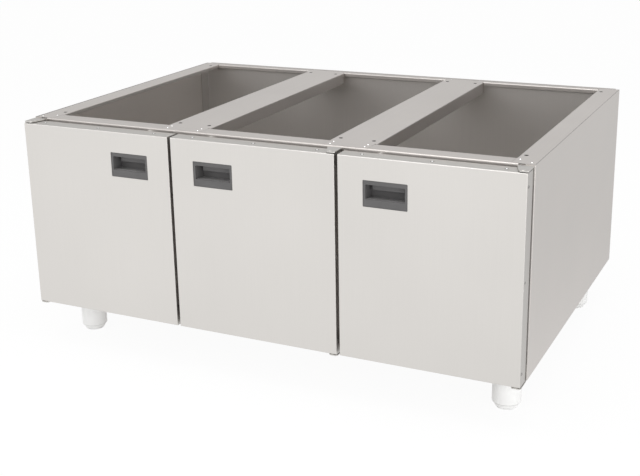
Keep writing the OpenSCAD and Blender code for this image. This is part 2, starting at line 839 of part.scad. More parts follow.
module door_skin(i) {
    color(steel) at_door(i) difference() {
        translate([-door_w / 2, door_front_y, door_top_z]) rotate([-90, 0, 0])
            formed_pan(door_w, door_h, door_t, door_sheet_t, door_edge_r);
        translate([grip_x, door_front_y + 2 * cut, grip_z]) rotate([90, 0, 0])
            linear_extrude(3 * cut) rounded_rect(grip_w, grip_h, 2);
        door_rivet_holes();
        block_holes();
        at_lower_end() block_holes();
    }
}

module door_liner(i) {
    inset = door_sheet_t + nest_gap;
    color(steel) at_door(i) difference() {
        translate([-door_w / 2 + inset, door_back_y, door_bottom_z + inset]) rotate([90, 0, 0])
            formed_pan(door_w - 2 * inset, door_h - 2 * inset, door_t - liner_front, door_sheet_t,
                door_edge_r);
        door_rivet_holes();
        strike_rivet_hole();
    }
}

// Rivets through the edges of skin and liner

module each_door_rivet() {
    for (x = [-rivet_pitch, 0, rivet_pitch])
        translate([x, door_front_y + rivet_back, door_top_z]) children();
}

module door_rivet_drill() {
    each_door_rivet() translate([0, 0, -2 * door_rivet_len])
        cylinder(r = door_rivet_r + hole_gap, h = 3 * door_rivet_len);
}

module door_rivet_holes() {
    door_rivet_drill();
    at_lower_end() door_rivet_drill();
}

module door_rivet() {
    each_door_rivet() {
        translate([0, 0, hole_gap]) domed_head(door_rivet_head_r, door_rivet_head_h);
        translate([0, 0, -door_rivet_len]) cylinder(r = door_rivet_r, h = door_rivet_len + hole_gap);
    }
}

module door_rivets(i) {
    color(bright_steel) at_door(i) {
        door_rivet();
        at_lower_end() door_rivet();
        strike_rivet();
    }
}

// Nylon block in the corner of a door, with a collar through the edge of the skin
module hinge_block_shape() {
    top = door_top_z - door_sheet_t - block_gap;
    collar_top = door_top_z + hinge_gap - 3 * hole_gap;
    difference() {
        union() {
            translate([block_edge_x - block_w, block_front_y, top]) rotate([-90, 0, 0])
                formed_block(block_w, block_h, block_d, door_edge_r - door_sheet_t);
            translate([pivot_x, pivot_y, top - cut]) cylinder(d = collar_d, h = collar_top - top + cut);
        }
        translate([pivot_x, pivot_y, door_top_z - pin_depth])
            cylinder(r = pin_d / 2 + pin_clearance, h = 2 * pin_depth);
        translate([block_edge_x + cut, pivot_y, door_top_z - block_screw_end]) rotate([0, -90, 0])
            cylinder(r = block_screw_r + hole_gap, h = block_screw_len + cut);
    }
}

// Holes in the skin for the collar and the side screw of a block
module block_holes() {
    translate([pivot_x, pivot_y, door_top_z - 2 * cut])
        cylinder(r = collar_d / 2 + 3 * hole_gap, h = 3 * cut);
    translate([door_w / 2 + cut, pivot_y, door_top_z - block_screw_end]) rotate([0, -90, 0])
        cylinder(r = block_screw_r + hole_gap, h = 3 * cut);
}

module hinge_block_top(i) {
    color(white_plastic) at_door(i) hinge_block_shape();
}

module hinge_block_bottom(i) {
    color(white_plastic) at_door(i) at_lower_end() hinge_block_shape();
}

module block_screw() {
    head_r = 3.5;
    head_h = 0.8;
    translate([door_w / 2 + hole_gap, pivot_y, door_top_z - block_screw_end]) rotate([0, -90, 0])
        difference() {
            union() {
                translate([0, 0, -head_h]) cylinder(r1 = head_r - head_h, r2 = head_r, h = head_h);
                cylinder(r = block_screw_r, h = block_screw_len);
            }
            translate([0, 0, -2 * head_h]) cylinder(r = head_r / 2, h = 4 * head_h, $fn = 6);
        }
}

module block_screws(i) {
    color(bright_steel) at_door(i) {
        block_screw();
        at_lower_end() block_screw();
    }
}

// Recessed grip, drawn with its front at y = 0 and the middle of the cut-out at the origin

mouth_w = grip_w - 2 * grip_gap - 2 * mouth_side;
mouth_high = grip_h / 2 - mouth_top;
mouth_low = -grip_h / 2 + mouth_bottom;
mouth_r = 2.5;

// Hollow for the fingers, grown on every side by more
module grip_hollow(more, front) {
    low = mouth_low - floor_drop;
    intersection() {
        translate([0, mouth_depth + more, (mouth_high + low) / 2]) rotate([90, 0, 0])
            linear_extrude(mouth_depth + more - front)
                rounded_rect(mouth_w + 2 * more, mouth_high - low + 2 * more, mouth_r + more);
        translate([-grip_w / 2, 0, 0]) rotate([90, 0, 90]) linear_extrude(grip_w) polygon([
            [front, mouth_low - more],
            [0, mouth_low - more],
            [mouth_depth + more, low - more],
            [mouth_depth + more, mouth_high + more],
            [front, mouth_high + more]
        ]);
    }
}

module grip_shape() {
    w = grip_w - 2 * grip_gap;
    h = grip_h - 2 * grip_gap;
    bezel_r = 1.5;
    rim = 4;
    rim_y = door_sheet_t + seat_gap;
    lip_t = 2.5;
    lip_w = mouth_w - 2 * lip_end_gap;
    rib_t = 1.6;
    union() {
        difference() {
            union() {
                translate([0, rim_y + grip_wall, 0]) rotate([90, 0, 0])
                    linear_extrude(rim_y + grip_wall - grip_recess) rounded_rect(w, h, bezel_r);
                translate([0, rim_y + grip_wall, 0]) rotate([90, 0, 0])
                    linear_extrude(grip_wall) rounded_rect(w + 2 * rim, h + 2 * rim, bezel_r + rim);
                grip_hollow(grip_wall, rim_y);
                for (x = [-1, 0, 1]) translate([x * w / 3 - rib_t / 2, 0, 0]) rotate([90, 0, 90])
                    linear_extrude(rib_t) polygon([
                        [rim_y, -h / 2 + rim],
                        [rim_y + grip_wall, -h / 2 + rim],
                        [mouth_depth / 2, mouth_low - floor_drop - grip_wall / 2],
                        [mouth_depth / 2, mouth_low],
                        [rim_y, mouth_low]
                    ]);
            }
            grip_hollow(0, -cut);
        }
        translate([-lip_w / 2, lip_back, mouth_high - lip_h + lip_t / 2])
            cube([lip_w, lip_t, lip_h - lip_t / 2 + grip_wall / 2]);
        translate([-lip_w / 2, lip_back + lip_t / 2, mouth_high - lip_h + lip_t / 2])
            rotate([0, 90, 0]) cylinder(d = lip_t, h = lip_w);
    }
}

module grip(i) {
    color(dark_plastic) at_door(i) translate([grip_x, door_front_y, grip_z]) grip_shape();
}

// Feet

module at_foot(side, y) {
    translate([side * foot_x, y, 0]) children();
}

module foot_socket(side, y) {
    r = socket_d / 2;
    bore_r = adjuster_d / 2 + adjuster_gap;
    top = base_z - hole_gap;
    edge = 1.5;
    color(white_plastic) at_foot(side, y) rotate_extrude() polygon([
        [bore_r, socket_bottom_z],
        [r - edge, socket_bottom_z],
        [r, socket_bottom_z + edge],
        [r, top],
        [foot_bolt_d / 2 + hole_gap, top],
        [foot_bolt_d / 2 + hole_gap, top - socket_roof],
        [bore_r, top - socket_roof]
    ]);
}

module foot_adjuster(side, y) {
    r = adjuster_d / 2;
    top = base_z - hole_gap - socket_roof - sheet_gap;
    inner_r = r - foot_wall;
    color(white_plastic) at_foot(side, y) rotate_extrude() polygon([
        [0, 0],
        [pad_d / 2, 0],
        [r - pad_groove, pad_h - pad_groove],
        [r - pad_groove, pad_h],
        [r, pad_h + pad_groove / 2],
        [r, top],
        [inner_r, top],
        [inner_r, pad_h + foot_wall],
        [0, pad_h + foot_wall]
    ]);
}

// Bolt from the channel down through the roof of each socket, with its nut below
module foot_bolts() {
    head_h = 5;
    head_r = foot_bolt_d * 0.9;
    roof = base_z - hole_gap - socket_roof;
    color(bright_steel) for (side = [-1, 1], y = [foot_front_y, foot_rear_y]) at_foot(side, y) {
        translate([0, 0, base_z + foot_channel_t + hole_gap]) cylinder(r = head_r, h = head_h, $fn = 6);
        translate([0, 0, roof - foot_nut_h])
            cylinder(d = foot_bolt_d, h = base_z + foot_channel_t + 2 * hole_gap - roof + foot_nut_h);
        translate([0, 0, roof - foot_nut_h]) cylinder(r = head_r, h = foot_nut_h - hole_gap, $fn = 6);
    }
}

mirror([1, 0, 0]) side_panel();  // side_panel_left
side_panel();  // side_panel_right
mirror([1, 0, 0]) side_frame();  // side_frame_left
side_frame();  // side_frame_right
base_tray();
front_top_rail();
rear_top_rail();
rear_liner();
rear_cover();
cross_beam(-1);  // cross_beam_left
cross_beam(1);  // cross_beam_right
mirror([1, 0, 0]) foot_channel();  // foot_channel_left
foot_channel();  // foot_channel_right
at_door(1) hinge_bracket();  // hinge_bracket_top_1
at_door(2) hinge_bracket();  // hinge_bracket_top_2
at_door(3) hinge_bracket();  // hinge_bracket_top_3
at_door(1) at_lower_end() hinge_bracket();  // hinge_bracket_bottom_1
at_door(2) at_lower_end() hinge_bracket();  // hinge_bracket_bottom_2
at_door(3) at_lower_end() hinge_bracket();  // hinge_bracket_bottom_3
hinge_pins();
hinge_screws();
pot_magnet(1);  // pot_magnet_1
pot_magnet(2);  // pot_magnet_2
pot_magnet(3);  // pot_magnet_3
magnet_screws();
top_rivets();
foot_bolts();
foot_socket(-1, foot_front_y);  // foot_socket_front_left
foot_socket(1, foot_front_y);  // foot_socket_front_right
foot_socket(-1, foot_rear_y);  // foot_socket_rear_left
foot_socket(1, foot_rear_y);  // foot_socket_rear_right
foot_adjuster(-1, foot_front_y);  // foot_adjuster_front_left
foot_adjuster(1, foot_front_y);  // foot_adjuster_front_right
foot_adjuster(-1, foot_rear_y);  // foot_adjuster_rear_left
foot_adjuster(1, foot_rear_y);  // foot_adjuster_rear_right
door_skin(1);  // door_skin_1
door_liner(1);  // door_liner_1
grip(1);  // grip_1
hinge_block_top(1);  // hinge_block_top_1
hinge_block_bottom(1);  // hinge_block_bottom_1
strike_plate(1);  // strike_plate_1
door_rivets(1);  // door_rivets_1
block_screws(1);  // block_screws_1
door_skin(2);  // door_skin_2
door_liner(2);  // door_liner_2
grip(2);  // grip_2
hinge_block_top(2);  // hinge_block_top_2
hinge_block_bottom(2);  // hinge_block_bottom_2
strike_plate(2);  // strike_plate_2
door_rivets(2);  // door_rivets_2
block_screws(2);  // block_screws_2
door_skin(3);  // door_skin_3
door_liner(3);  // door_liner_3
grip(3);  // grip_3
hinge_block_top(3);  // hinge_block_top_3
hinge_block_bottom(3);  // hinge_block_bottom_3
strike_plate(3);  // strike_plate_3
door_rivets(3);  // door_rivets_3
block_screws(3);  // block_screws_3
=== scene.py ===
"""Looks of the open-top base cabinet: stainless sheet, moulded grips and white feet."""

import math

import bmesh
import bpy
from mathutils import Matrix, Vector


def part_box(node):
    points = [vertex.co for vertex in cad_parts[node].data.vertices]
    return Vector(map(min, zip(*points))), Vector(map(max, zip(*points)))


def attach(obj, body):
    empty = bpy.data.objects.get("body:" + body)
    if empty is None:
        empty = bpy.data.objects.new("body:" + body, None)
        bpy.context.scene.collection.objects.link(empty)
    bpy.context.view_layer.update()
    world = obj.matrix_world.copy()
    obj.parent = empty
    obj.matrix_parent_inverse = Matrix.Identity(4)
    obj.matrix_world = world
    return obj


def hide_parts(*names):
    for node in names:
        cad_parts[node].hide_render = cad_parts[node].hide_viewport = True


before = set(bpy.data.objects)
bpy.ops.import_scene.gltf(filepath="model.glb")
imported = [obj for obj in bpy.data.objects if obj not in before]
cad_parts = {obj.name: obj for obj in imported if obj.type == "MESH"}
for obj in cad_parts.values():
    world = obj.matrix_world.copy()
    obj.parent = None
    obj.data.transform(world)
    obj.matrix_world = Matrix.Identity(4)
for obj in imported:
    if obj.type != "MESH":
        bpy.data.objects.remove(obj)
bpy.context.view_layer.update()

MM = 0.001


# The photograph's viewpoint, fitted to the cabinet's corners

SENSOR_WIDTH = 36
CAMERA_PLACE = Vector((1.1282, -2.4143, 1.1137))
CAMERA_TURN = math.radians(26.622)
CAMERA_DOWN = math.radians(16.947)
CAMERA_ROLL = math.radians(-1.273)
CAMERA_LENS = 63.08
CAMERA_SHIFT = (0.0235, -0.0519)


def make_camera():
    turn, down, roll = CAMERA_TURN, CAMERA_DOWN, CAMERA_ROLL
    ahead = Vector((-math.sin(turn) * math.cos(down), math.cos(turn) * math.cos(down), -math.sin(down)))
    level = Vector((math.cos(turn), math.sin(turn), 0))
    upright = level.cross(ahead)
    right = level * math.cos(roll) + upright * math.sin(roll)
    up = upright * math.cos(roll) - level * math.sin(roll)
    lens = bpy.data.cameras.new("camera")
    lens.sensor_width = SENSOR_WIDTH
    lens.lens = CAMERA_LENS
    lens.shift_x, lens.shift_y = CAMERA_SHIFT
    camera = bpy.data.objects.new("camera", lens)
    bpy.context.scene.collection.objects.link(camera)
    camera.matrix_world = Matrix.Translation(CAMERA_PLACE) @ Matrix((right, up, -ahead)).transposed().to_4x4()
    bpy.context.scene.camera = camera


make_camera()


# Material tools

def linear(hex_colour):
    """An sRGB hex colour as linear red, green, blue and 1."""
    parts = [int(hex_colour[i:i + 2], 16) / 255 for i in (1, 3, 5)]
    return tuple(c / 12.92 if c <= 0.04045 else ((c + 0.055) / 1.055) ** 2.4 for c in parts) + (1,)


def add(tree, kind, settings=None, **inputs):
    """Adds a node. Settings are its own properties; inputs are values or other nodes' sockets."""
    node = tree.nodes.new(kind)
    for name, value in (settings or {}).items():
        setattr(node, name, value)
    for name, value in inputs.items():
        socket = node.inputs[int(name[1:])] if name[1:].isdigit() else node.inputs[name.replace("_", " ")]
        if isinstance(value, bpy.types.NodeSocket):
            tree.links.new(value, socket)
        else:
            socket.default_value = value
    return node


def new_material(name):
    material = bpy.data.materials.new(name)
    material.use_nodes = True
    tree = material.node_tree
    return material, tree, tree.nodes["Principled BSDF"]


def shades(tree, fac, dark, light, low=0.0, high=1.0):
    """A smooth ramp between two hex colours."""
    ramp = add(tree, "ShaderNodeValToRGB", Fac=fac)
    ramp.color_ramp.elements[0].position = low
    ramp.color_ramp.elements[0].color = linear(dark)
    ramp.color_ramp.elements[1].position = high
    ramp.color_ramp.elements[1].color = linear(light)
    return ramp.outputs["Color"]


def spread(tree, fac, low, high):
    """A pattern from 0 to 1, mapped to a range of values."""
    return add(tree, "ShaderNodeMapRange", Value=fac, To_Min=low, To_Max=high).outputs["Result"]


def either(tree, first, second):
    """The greater of two sockets' values."""
    return add(tree, "ShaderNodeMath", {"operation": "MAXIMUM"}, _0=first, _1=second).outputs[0]


# Share of the fine scratches in the shade of a satin sheet; slow clouds make the rest
SCRATCH_SHARE = 0.45


def satin_steel(name, dark, light, grain, roughness, face="y", flank=1.0):
    """Stainless sheet, AISI 304, finished on a grinding belt: fine straight scratches along the grain.

    Painted shade: where the normal turns away from the face axis, on bends and side faces, the colour is
    darkened down to the flank's share of the brightness, for the shade and dim reflections that fall there.
    """
    material, tree, surface = new_material(name)
    place = add(tree, "ShaderNodeTexCoord").outputs["Object"]
    # Scratches of a 240 grit belt are 0.05 mm apart; drawn at about 1.2 mm so that they show
    fine = 1 / (1.2 * MM)
    along = 1 / (160 * MM)
    scale = {"x": (along, fine, fine), "y": (fine, along, fine), "z": (fine, fine, along)}[grain]
    stretched = add(tree, "ShaderNodeMapping", Vector=place, Scale=scale).outputs["Vector"]
    scratches = add(tree, "ShaderNodeTexNoise", Vector=stretched, Scale=1.0, Detail=3.0).outputs["Fac"]
    # Slow changes of shade over the sheet, about 250 mm across
    clouds = add(tree, "ShaderNodeTexNoise", Vector=place, Scale=1 / (250 * MM), Detail=2.0).outputs["Fac"]
    slow = add(tree, "ShaderNodeMath", {"operation": "MULTIPLY"}, _0=clouds, _1=1 - SCRATCH_SHARE).outputs[0]
    mixed = add(tree, "ShaderNodeMath", {"operation": "MULTIPLY_ADD"},
                _0=scratches, _1=SCRATCH_SHARE, _2=slow).outputs[0]
    # Painted shade: the normal's part along the face axis sets how much of the colour stays on bends and side
    # faces
    across = add(tree, "ShaderNodeSeparateXYZ", Vector=add(tree, "ShaderNodeTexCoord").outputs["Normal"])
    squareness = add(tree, "ShaderNodeMath", {"operation": "ABSOLUTE"}, _0=across.outputs[face.upper()])
    painted_flank_shade = add(tree, "ShaderNodeMapRange", Value=squareness.outputs[0], From_Min=0.3, From_Max=0.9,
                 To_Min=flank, To_Max=1.0).outputs["Result"]
    colour = add(tree, "ShaderNodeHueSaturation", Color=shades(tree, mixed, dark, light, 0.3, 0.7),
                 Value=painted_flank_shade).outputs["Color"]
    tree.links.new(colour, surface.inputs["Base Color"])
    tree.links.new(spread(tree, mixed, roughness - 0.04, roughness + 0.04), surface.inputs["Roughness"])
    bump = add(tree, "ShaderNodeBump", Height=scratches, Strength=0.04, Distance=0.02 * MM)
    tree.links.new(bump.outputs["Normal"], surface.inputs["Normal"])
    surface.inputs["Metallic"].default_value = 1.0
    return material


def plated_steel(name, dark, light, roughness):
    """Small steel parts, plated or polished: glints with a faint mottle."""
    material, tree, surface = new_material(name)
    place = add(tree, "ShaderNodeTexCoord").outputs["Object"]
    # Unevenness of the skin, about 0.8 mm across
    mottle = add(tree, "ShaderNodeTexNoise", Vector=place, Scale=1 / (0.8 * MM), Detail=2.0).outputs["Fac"]
    tree.links.new(shades(tree, mottle, dark, light, 0.3, 0.7), surface.inputs["Base Color"])
    tree.links.new(spread(tree, mottle, roughness - 0.05, roughness + 0.05), surface.inputs["Roughness"])
    surface.inputs["Metallic"].default_value = 1.0
    return material


def mouth_painted_light(tree):
    """Painted light over a grip: the plate is 1, the mouth behind it is painted lighter and its up-facing
    floor lightest, for light that falls into the recess.
    """
    normal = add(tree, "ShaderNodeSeparateXYZ", Vector=add(tree, "ShaderNodeTexCoord").outputs["Normal"])
    place = add(tree, "ShaderNodeSeparateXYZ", Vector=add(tree, "ShaderNodeTexCoord").outputs["Object"])
    behind_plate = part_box("grip_1")[0][1] + 3 * MM
    inside = add(tree, "ShaderNodeMath", {"operation": "GREATER_THAN"}, _0=place.outputs["Y"],
                 _1=behind_plate).outputs[0]
    level = add(tree, "ShaderNodeMath", {"operation": "ABSOLUTE"}, _0=normal.outputs["Z"]).outputs[0]
    gain = add(tree, "ShaderNodeMapRange", Value=level, From_Min=0.8, From_Max=0.95,
               To_Min=MOUTH_PAINTED_LIGHT - 1, To_Max=FLOOR_PAINTED_LIGHT - 1).outputs["Result"]
    return add(tree, "ShaderNodeMath", {"operation": "MULTIPLY_ADD"}, _0=inside, _1=gain, _2=1.0).outputs[0]


def moulded_plastic(name, dark, light, roughness, grit, depth, gloss=0.5, shade=None):
    """Injection-moulded plastic from a spark-eroded mould: an even fine grain with a soft sheen.

    Grit is the width of the grain and depth its height, in mm.
    """
    material, tree, surface = new_material(name)
    place = add(tree, "ShaderNodeTexCoord").outputs["Object"]
    grain = add(tree, "ShaderNodeTexNoise", Vector=place, Scale=1 / (grit * MM), Detail=2.0).outputs["Fac"]
    # Flow of the melt gives slow changes of shade, about 40 mm across
    flow = add(tree, "ShaderNodeTexNoise", Vector=place, Scale=1 / (40 * MM), Detail=1.0).outputs["Fac"]
    colour = shades(tree, flow, dark, light, 0.3, 0.7)
    # Painted light: shade brightens parts of the colour, as in a grip's mouth and floor
    if shade:
        colour = add(tree, "ShaderNodeHueSaturation", Color=colour, Value=shade(tree)).outputs["Color"]
    tree.links.new(colour, surface.inputs["Base Color"])
    tree.links.new(spread(tree, grain, roughness - 0.06, roughness + 0.06), surface.inputs["Roughness"])
    bump = add(tree, "ShaderNodeBump", Height=grain, Strength=0.15, Distance=depth * MM)
    tree.links.new(bump.outputs["Normal"], surface.inputs["Normal"])
    surface.inputs["IOR"].default_value = 1.5
    surface.inputs["Specular IOR Level"].default_value = gloss
    return material


def shade_line_matter(name, dark, light):
    """Dull, uneven matter for the thin dark and grey lines that paint shade in joints and round rivets, drawn
    as sealant smoothed wet or moulded rubber.
    """
    material, tree, surface = new_material(name)
    place = add(tree, "ShaderNodeTexCoord").outputs["Object"]
    # Ripples left by the nozzle or the mould, about 6 mm apart
    ripple = add(tree, "ShaderNodeTexNoise", Vector=place, Scale=1 / (6 * MM), Detail=2.0).outputs["Fac"]
    tree.links.new(shades(tree, ripple, dark, light, 0.3, 0.7), surface.inputs["Base Color"])
    tree.links.new(spread(tree, ripple, 0.55, 0.7), surface.inputs["Roughness"])
    surface.inputs["IOR"].default_value = 1.45
    return material


# Painted light and shade: these are one satin stainless, drawn lighter for the front-lit doors and darker for
# the side, rails, beams and inner wall; the last number, where given, is the flanks' painted shade.
DOOR_STEEL = satin_steel("satin stainless door sheet", "#dddad6", "#e1deda", "z", 0.42, "y", 0.82)
SIDE_STEEL = satin_steel("satin stainless side sheet", "#d8d4d0", "#ddd8d4", "y", 0.42, "x", 0.82)
BEAM_STEEL = satin_steel("satin stainless beam sheet", "#d3ceca", "#dbd6d2", "y", 0.42, "z", 0.8)
RAIL_STEEL = satin_steel("satin stainless rail sheet", "#cfcac6", "#d7d2ce", "x", 0.42, "z", 0.88)
WALL_STEEL = satin_steel("satin stainless wall sheet", "#cac7c4", "#d2cfcc", "z", 0.45)
COVER_STEEL = satin_steel("satin stainless cover sheet", "#cfcac6", "#d7d2ce", "x", 0.42)
BRACKET_STEEL = satin_steel("pressed stainless bracket", "#cdcac6", "#d9d6d2", "y", 0.36)
PLATED_STEEL = plated_steel("bright zinc-plated steel", "#e9e9e7", "#f6f6f4", 0.22)
RIVET_STEEL = plated_steel("polished stainless rivet", "#f6f6f5", "#fdfdfc", 0.1)
SCREW_STEEL = plated_steel("plain stainless screw", "#9c9a98", "#aaa8a6", 0.36)
# Painted shade: blackened, so that the nuts make the bolt holes read dark
HOLE_SHADE_OXIDE = plated_steel("blackened steel painting hole shade", "#1b1b1b", "#2a2a2a", 0.45)
# Painted light inside a grip's mouth and on its floor, against the plate: their colour is made lighter where
# light falls into the recess.
MOUTH_PAINTED_LIGHT, FLOOR_PAINTED_LIGHT = 1.2, 3.0
GRIP_PLASTIC = moulded_plastic("spark-textured dark ABS", "#575656", "#5d5c5c", 0.5, 0.7, 0.03,
                               gloss=0.4, shade=mouth_painted_light)
FOOT_PLASTIC = moulded_plastic("white moulded polyamide", "#f3f3f2", "#f7f7f6", 0.38, 1.0, 0.02)
# Painted shade: black, so that the pivot washers read as the shadow under the brackets
SHADE_BLACK_NYLON = moulded_plastic("black nylon painting the bracket shadow", "#1c1c1c", "#242424", 0.5, 0.8, 0.02)
NYLON = moulded_plastic("natural nylon", "#dedcd4", "#e8e6de", 0.45, 0.8, 0.02)
# Painted shade: these three draw dark and grey lines where joints and rivet heads are in shade
SEAM_SHADOW_MATTER = shade_line_matter("dark bead painting seam shadow", "#2c2a28", "#3a3836")
RIVET_SHADE_RUBBER = shade_line_matter("grey rubber painting rivet shade", "#5c5a58", "#6a6866")
JOINT_SHADE_RUBBER = shade_line_matter("pale grey ring painting joint shade", "#d2d2d0", "#dcdcda")

NODE_FINISH = {
    "side_panel": SIDE_STEEL,
    "side_frame": BEAM_STEEL,
    "base_tray": RAIL_STEEL,
    "front_top_rail": RAIL_STEEL,
    "rear_top_rail": RAIL_STEEL,
    "rear_liner": WALL_STEEL,
    "rear_cover": COVER_STEEL,
    "cross_beam": BEAM_STEEL,
    "foot_channel": BEAM_STEEL,
    "hinge_bracket": BRACKET_STEEL,
    "hinge_pins": BRACKET_STEEL,
    "hinge_screws": PLATED_STEEL,
    "pot_magnet": PLATED_STEEL,
    "magnet_screws": PLATED_STEEL,
    "top_rivets": PLATED_STEEL,
    "foot_bolts": PLATED_STEEL,
    "foot_socket": FOOT_PLASTIC,
    "foot_adjuster": FOOT_PLASTIC,
    "door_skin": DOOR_STEEL,
    "door_liner": DOOR_STEEL,
    "grip": GRIP_PLASTIC,
    "hinge_block": NYLON,
    "strike_plate": PLATED_STEEL,
    "door_rivets": RIVET_STEEL,
    "block_screws": SCREW_STEEL,
}


def finish_nodes():
    """Gives each CAD node the finish of the longest name that it starts with."""
    for name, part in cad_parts.items():
        family = max((key for key in NODE_FINISH if name.startswith(key)), key=len)
        part.data.materials.clear()
        part.data.materials.append(NODE_FINISH[family])


finish_nodes()


# Small pieces that the solids leave out

def corners(node):
    low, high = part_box(node)
    return Vector(low), Vector(high)


def solids_of(node):
    """Lowest and highest corner of each separate solid in a CAD node."""
    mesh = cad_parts[node].data
    # Vertices that sharp edges split share the place of the first of them
    places = {}
    home = [places.setdefault(tuple(round(c / MM, 3) for c in vertex.co), vertex.index)
            for vertex in mesh.vertices]

    def root(i):
        while home[i] != i:
            home[i] = home[home[i]]
            i = home[i]
        return i

    for edge in mesh.edges:
        home[root(edge.vertices[0])] = root(edge.vertices[1])
    groups = {}
    for vertex in mesh.vertices:
        groups.setdefault(root(vertex.index), []).append(vertex.co)
    return [tuple(Vector([pick(co[k] for co in group) for k in range(3)]) for pick in (min, max))
            for group in groups.values()]


class Piece:
    """Mesh that is gathered from turned shapes and beads, then made into one object of one finish."""

    def __init__(self):
        self.points, self.faces = [], []

    def ring_strip(self, rings, closed):
        """Joins each ring of points with the next one."""
        start = len(self.points)
        count = len(rings[0])
        for ring in rings:
            self.points.extend(ring)
        for i in range(len(rings) if closed else len(rings) - 1):
            one, two = start + i * count, start + (i + 1) % len(rings) * count
            for k in range(count):
                n = (k + 1) % count
                self.faces.append((one + k, one + n, two + n, two + k))

    def turned(self, centre, profile, sides=24, lean=Matrix.Identity(3)):
        """Closed profile of radius and height pairs, in metres, turned round an upright or leant axis."""
        angles = [2 * math.pi * k / sides for k in range(sides)]
        self.ring_strip([[centre + lean @ Vector((radius * math.cos(a), radius * math.sin(a), height))
                          for a in angles] for radius, height in profile], True)

    def bead(self, start, end, radius, sides=8):
        """Round bead from start to end, with flat ends, which draws a painted shadow line in a seam."""
        start, end = Vector(start), Vector(end)
        along = (end - start).normalized()
        side = along.cross(Vector((0, 0, 1))).normalized()
        up = side.cross(along)
        angles = [2 * math.pi * k / sides for k in range(sides)]
        first = len(self.points)
        self.ring_strip([[place + radius * (math.cos(a) * side + math.sin(a) * up) for a in angles]
                         for place in (start, end)], False)
        self.faces.append(tuple(range(first, first + sides)))
        self.faces.append(tuple(range(first + sides, first + 2 * sides)))

    def make(self, name, body, finish):
        mesh = bpy.data.meshes.new(name)
        mesh.from_pydata([tuple(p) for p in self.points], [], self.faces)
        mesh.materials.append(finish)
        bm = bmesh.new()
        bm.from_mesh(mesh)
        bmesh.ops.recalc_face_normals(bm, faces=bm.faces)
        bm.to_mesh(mesh)
        bm.free()
        mesh.shade_smooth()
        mesh.set_sharp_from_angle(angle=math.radians(40))
        piece = bpy.data.objects.new(name, mesh)
        bpy.context.scene.collection.objects.link(piece)
        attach(piece, body)
        return piece


def paint_seam_shadows():
    """Thin dark beads in the open joints between the sheets of the top, which paint the shadow lines in these
    joints.
    """
    top = corners("side_panel_right")[1].z
    frame_low, frame_high = corners("side_frame_right")
    bracket_low = corners("hinge_bracket_top_3")[0]
    rear_high = corners("rear_top_rail")[1]
    cover_low, cover_high = corners("rear_cover")
    piece = Piece()
    for side in (-1, 1):
        # Between the bend of the side flange and the edge of the side panel
        x = side * (frame_high.x + 0.1 * MM)
        piece.bead((x, frame_low.y + 2 * MM, top - 0.55 * MM), (x, frame_high.y, top - 0.55 * MM), 0.4 * MM)
        # Along the front bend of the side flange, over the hinge bracket, where the bead hides the bend's
        # bright edge and paints a dark line
        y, z = frame_low.y - 0.15 * MM, top - 0.55 * MM
        piece.bead((side * (bracket_low.x + 1 * MM), y, z), (side * (frame_high.x - 1 * MM), y, z), 0.6 * MM)
    # Between the rear rail and the rear cover
    y, z, inset = (rear_high.y + cover_low.y) / 2, top - 0.5 * MM, 3 * MM
    piece.bead((cover_low.x + inset, y, z), (cover_high.x - inset, y, z), 0.35 * MM)
    piece.make("seam_shadow_beads", "carcass", SEAM_SHADOW_MATTER)


# Bolt holes of the top: from the front rail's face to the first, from there to the rear one, and
# the distances from a beam's middle line and from the cabinet's
BOLT_SETBACK, BOLT_SPACING = 67 * MM, 677 * MM
BEAM_BOLT, FLANGE_BOLT = 38 * MM, 563 * MM


def add_weld_nuts():
    """Nuts under the bolt holes of the beams and side flanges, blackened so that they paint the holes' shade.
    """
    top = corners("side_panel_right")[1].z
    beam_low, beam_high = corners("cross_beam_right")
    beam_x = (beam_low.x + beam_high.x) / 2
    front = corners("front_top_rail")[0].y + BOLT_SETBACK
    spots = [(side * x, y) for side in (-1, 1) for x in (beam_x - BEAM_BOLT, beam_x + BEAM_BOLT, FLANGE_BOLT)
             for y in (front, front + BOLT_SPACING)]
    piece = Piece()
    # M8 nut, drawn round: its collar is in the 9 mm hole and its body under the sheet
    for x, y in spots:
        piece.turned(Vector((x, y, top)),
                     [(3.4 * MM, -0.3 * MM), (4.4 * MM, -0.3 * MM), (4.4 * MM, -1.6 * MM),
                      (6.5 * MM, -1.6 * MM), (6.5 * MM, -8 * MM), (3.4 * MM, -8 * MM)])
    piece.make("weld_nuts", "carcass", HOLE_SHADE_OXIDE)


def add_pivot_washers():
    """Washers on the pins, between each top bracket and its door, made black to paint the shadow line under
    the bracket.

    Their inner part overlaps the collar of the hinge block, which is 5 mm in radius.
    """
    for i in (1, 2, 3):
        bracket_low = corners("hinge_bracket_top_%d" % i)[0]
        skin_top = corners("door_skin_%d" % i)[1].z
        low, high = min((box for box in solids_of("hinge_pins") if box[1].z > skin_top),
                        key=lambda box: abs(box[0].x - bracket_low.x))
        centre = Vector(((low.x + high.x) / 2, (low.y + high.y) / 2, skin_top))
        inside, outside = 3.6 * MM, 7.4 * MM
        piece = Piece()
        piece.turned(centre, [(inside, 0.15 * MM), (outside, 0.15 * MM), (outside, 1.45 * MM),
                              (inside, 1.45 * MM)], sides=48)
        piece.make("pivot_washer_%d" % i, "carcass", SHADE_BLACK_NYLON)


